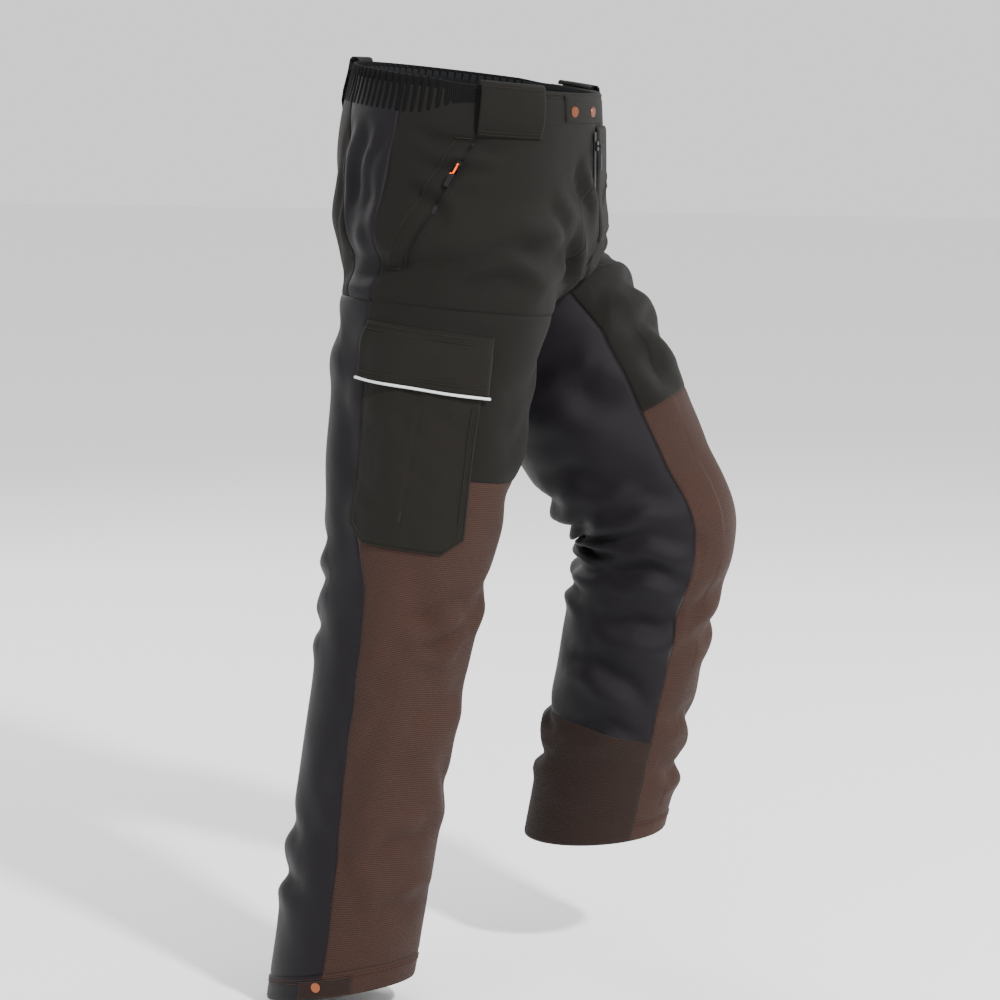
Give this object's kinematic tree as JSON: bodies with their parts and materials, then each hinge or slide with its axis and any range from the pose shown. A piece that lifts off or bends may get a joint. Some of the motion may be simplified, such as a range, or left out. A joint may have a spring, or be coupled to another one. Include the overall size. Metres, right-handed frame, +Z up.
{
  "type": "chainsaw protective trousers",
  "caption": "Chainsaw protective trousers in a walking stride: waistband with belt loops, fly, seat, hand and cargo pockets with flaps, and padded legs that bend at the knee.",
  "frame": {"origin": "centre of the waist opening, level with the middle of the waistband's upper edge", "axes": "+Z up along the standing body, -Y the wearer's front, -X the wearer's right"},
  "size_m": [0.4675, 0.4985, 1.132],
  "materials": {
    "black_zip_metal": "satin black",
    "brown_abrasion_cloth": "matt woven",
    "copper_press_stud": "satin",
    "elastic": "matt woven",
    "grey_stretch_cloth": "matt woven",
    "hook_and_loop": "matt woven",
    "mesh_lining": "matt woven",
    "olive_cloth": "matt woven",
    "orange_cord": "matt woven",
    "reflective_piping": "matt woven",
    "saw_protection": "matt woven",
    "seat_cloth": "matt woven",
    "zip_teeth": "matt woven"
  },
  "bodies": {
    "trousers": {"belt_loops": "olive_cloth", "elastic_waistband": "elastic", "fly_flap": "olive_cloth", "fly_zip": "zip_teeth", "hand_pocket_bags": "mesh_lining", "hand_pocket_welts": "olive_cloth", "hand_pocket_zips": "zip_teeth", "hip_and_thigh_lining": "mesh_lining", "left_cargo_pocket": "olive_cloth", "left_hip_front_panel": "olive_cloth", "left_hip_side_panel": "grey_stretch_cloth", "left_knee_cloth": "brown_abrasion_cloth", "left_thigh_abrasion_panel": "brown_abrasion_cloth", "left_thigh_back_panel": "grey_stretch_cloth", "left_thigh_front_panel": "olive_cloth", "left_thigh_saw_pad": "saw_protection", "pocket_loop_tapes": "hook_and_loop", "right_cargo_pocket": "olive_cloth", "right_hip_front_panel": "olive_cloth", "right_hip_side_panel": "grey_stretch_cloth", "right_knee_cloth": "brown_abrasion_cloth", "right_thigh_abrasion_panel": "brown_abrasion_cloth", "right_thigh_back_panel": "grey_stretch_cloth", "right_thigh_front_panel": "olive_cloth", "right_thigh_saw_pad": "saw_protection", "seat_panel": "seat_cloth", "waist_snap_studs": "copper_press_stud", "waistband_front": "olive_cloth"},
    "fly_pull": {"fly_pull": "orange_cord"},
    "fly_slider": {"fly_slider": "black_zip_metal"},
    "left_shin": {"left_ankle_patch": "brown_abrasion_cloth", "left_hem": "brown_abrasion_cloth", "left_hem_snap_studs": "copper_press_stud", "left_shin_abrasion_panel": "brown_abrasion_cloth", "left_shin_back_panel": "grey_stretch_cloth", "left_shin_lining": "mesh_lining", "left_shin_saw_pad": "saw_protection"},
    "left_cargo_flap": {"left_cargo_flap": "olive_cloth", "left_flap_hook_tape": "hook_and_loop", "left_flap_piping": "reflective_piping"},
    "left_hem_tab": {"left_hem_snap_cap": "copper_press_stud", "left_hem_tab": "brown_abrasion_cloth"},
    "left_pocket_pull": {"left_pocket_pull": "orange_cord"},
    "left_pocket_slider": {"left_pocket_slider": "black_zip_metal"},
    "right_shin": {"right_ankle_patch": "brown_abrasion_cloth", "right_hem": "brown_abrasion_cloth", "right_hem_snap_studs": "copper_press_stud", "right_shin_abrasion_panel": "brown_abrasion_cloth", "right_shin_back_panel": "grey_stretch_cloth", "right_shin_lining": "mesh_lining", "right_shin_saw_pad": "saw_protection"},
    "right_cargo_flap": {"right_cargo_flap": "olive_cloth", "right_flap_hook_tape": "hook_and_loop", "right_flap_piping": "reflective_piping"},
    "right_hem_tab": {"right_hem_snap_cap": "copper_press_stud", "right_hem_tab": "brown_abrasion_cloth"},
    "right_pocket_pull": {"right_pocket_pull": "orange_cord"},
    "right_pocket_slider": {"right_pocket_slider": "black_zip_metal"},
    "waist_tab": {"waist_snap_caps": "copper_press_stud", "waist_tab": "olive_cloth"}
  },
  "joints": [
    {"name": "right_knee", "type": "hinge", "parent": "trousers", "child": "right_shin", "pos_m": [-0.12502, 0.04764, -0.59514], "axis": [0.9981, 0.0079, -0.0605], "range_deg": [-1, 74], "deforming": ["right_knee_cloth"]},
    {"name": "right_cargo_flap_lift", "type": "hinge", "parent": "trousers", "child": "right_cargo_flap", "pos_m": [-0.20559, 0.01171, -0.27963], "axis": [0, 0.9917, 0.1288], "range_deg": [0, 110]},
    {"name": "right_hem_tab_open", "type": "hinge", "parent": "right_shin", "child": "right_hem_tab", "pos_m": [-0.22233, 0.08523, -1.06075], "axis": [0.061, -0.1458, 0.9874], "range_deg": [0, 140]},
    {"name": "right_pocket_zip_run", "type": "hinge", "parent": "trousers", "child": "right_pocket_slider", "pos_m": [0.22822, 0.01943, -0.20053], "axis": [0, -0.8861, -0.4636], "range_deg": [-4.51, 17.22]},
    {"name": "right_pocket_pull_swing", "type": "hinge", "parent": "right_pocket_slider", "child": "right_pocket_pull", "pos_m": [-0.18172, -0.03537, -0.09579], "axis": [0, 0.8861, 0.4636], "range_deg": [0, 135]},
    {"name": "left_knee", "type": "hinge", "parent": "trousers", "child": "left_shin", "pos_m": [0.13215, -0.19706, -0.55195], "axis": [0.9969, 0.0368, 0.0693], "range_deg": [-40, 35], "deforming": ["left_knee_cloth"]},
    {"name": "left_cargo_flap_lift", "type": "hinge", "parent": "trousers", "child": "left_cargo_flap", "pos_m": [0.20717, -0.04294, -0.27276], "axis": [0, -0.8829, 0.4695], "range_deg": [0, 110]},
    {"name": "left_hem_tab_open", "type": "hinge", "parent": "left_shin", "child": "left_hem_tab", "pos_m": [0.22506, -0.14508, -0.92562], "axis": [0.0601, 0.209, -0.9761], "range_deg": [0, 140]},
    {"name": "left_pocket_zip_run", "type": "hinge", "parent": "trousers", "child": "left_pocket_slider", "pos_m": [-0.22822, 0.01943, -0.20053], "axis": [0, 0.8861, 0.4636], "range_deg": [-4.51, 17.22]},
    {"name": "left_pocket_pull_swing", "type": "hinge", "parent": "left_pocket_slider", "child": "left_pocket_pull", "pos_m": [0.18172, -0.03537, -0.09579], "axis": [0, -0.8861, -0.4636], "range_deg": [0, 135]},
    {"name": "fly_zip_run", "type": "slide", "parent": "trousers", "child": "fly_slider", "axis": [0, 0, -1], "range_m": [-0.009, 0.097]},
    {"name": "fly_pull_swing", "type": "hinge", "parent": "fly_slider", "child": "fly_pull", "pos_m": [-0.014, -0.1566, -0.077], "axis": [-1, 0, 0], "range_deg": [0, 135]},
    {"name": "waist_tab_open", "type": "hinge", "parent": "trousers", "child": "waist_tab", "pos_m": [0.024, -0.14475, -0.0377], "axis": [0, 0.04, 0.9992], "range_deg": [0, 100]}
  ]
}
